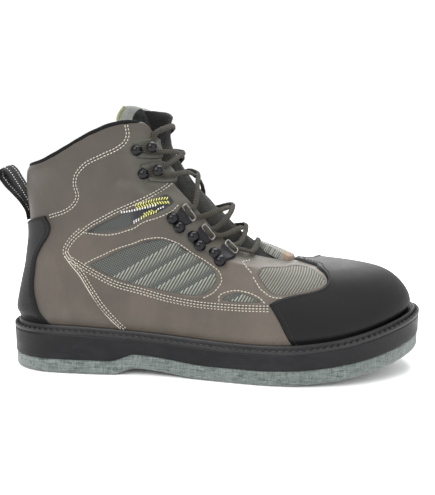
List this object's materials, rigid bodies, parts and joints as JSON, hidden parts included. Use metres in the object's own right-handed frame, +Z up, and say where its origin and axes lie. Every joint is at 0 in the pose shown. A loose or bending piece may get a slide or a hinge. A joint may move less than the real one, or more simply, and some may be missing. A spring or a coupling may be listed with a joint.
{
  "type": "wading boot",
  "caption": "Lace-up ankle-high wading boot for the right foot, with a felt outsole, black rubber toe cap and heel strip, mesh windows, lace rings, hooks and a heel pull loop.",
  "frame": {"origin": "on the floor under the middle of the heel, which is also the sole_rest mount", "axes": "+X from heel to toe, +Y to the medial (inner) side, +Z up"},
  "size_m": [0.336, 0.1195, 0.2063],
  "materials": {
    "felt": "dense felt",
    "sole_rubber": "satin",
    "footbed": "cloth on foam",
    "leather": "matte synthetic nubuck",
    "tongue_cloth": "ribbed cloth",
    "overlay_rubber": "matte coated",
    "webbing": "woven webbing",
    "plate": "satin",
    "black_steel": "gloss black",
    "steel_wire": "bright",
    "lace_cord": "woven"
  },
  "bodies": {
    "root": {"collar_binding": "webbing", "heel_strip": "overlay_rubber", "hook_4_lateral": "black_steel", "hook_4_medial": "black_steel", "hook_5_lateral": "black_steel", "hook_5_medial": "black_steel", "insole": "footbed", "lace_cross_1": "lace_cord", "lace_cross_2": "lace_cord", "lace_cross_3": "lace_cord", "lace_cross_4": "lace_cord", "lace_foot": "lace_cord", "lace_keeper": "tongue_cloth", "lace_ring_1_lateral": "steel_wire", "lace_ring_1_medial": "steel_wire", "lace_ring_2_lateral": "steel_wire", "lace_ring_2_medial": "steel_wire", "lace_ring_3_lateral": "steel_wire", "lace_ring_3_medial": "steel_wire", "lace_top": "lace_cord", "midsole": "sole_rubber", "outsole_felt": "felt", "pull_loop": "webbing", "ring_plate_1_lateral": "plate", "ring_plate_1_medial": "plate", "ring_plate_2_lateral": "plate", "ring_plate_2_medial": "plate", "ring_plate_3_lateral": "plate", "ring_plate_3_medial": "plate", "ring_stud_1_lateral_a": "black_steel", "ring_stud_1_lateral_b": "black_steel", "ring_stud_1_medial_a": "black_steel", "ring_stud_1_medial_b": "black_steel", "ring_stud_2_lateral_a": "black_steel", "ring_stud_2_lateral_b": "black_steel", "ring_stud_2_medial_a": "black_steel", "ring_stud_2_medial_b": "black_steel", "ring_stud_3_lateral_a": "black_steel", "ring_stud_3_lateral_b": "black_steel", "ring_stud_3_medial_a": "black_steel", "ring_stud_3_medial_b": "black_steel", "toe_cap": "overlay_rubber", "tongue": "tongue_cloth", "upper": "leather", "welt": "sole_rubber"}
  },
  "joints": []
}
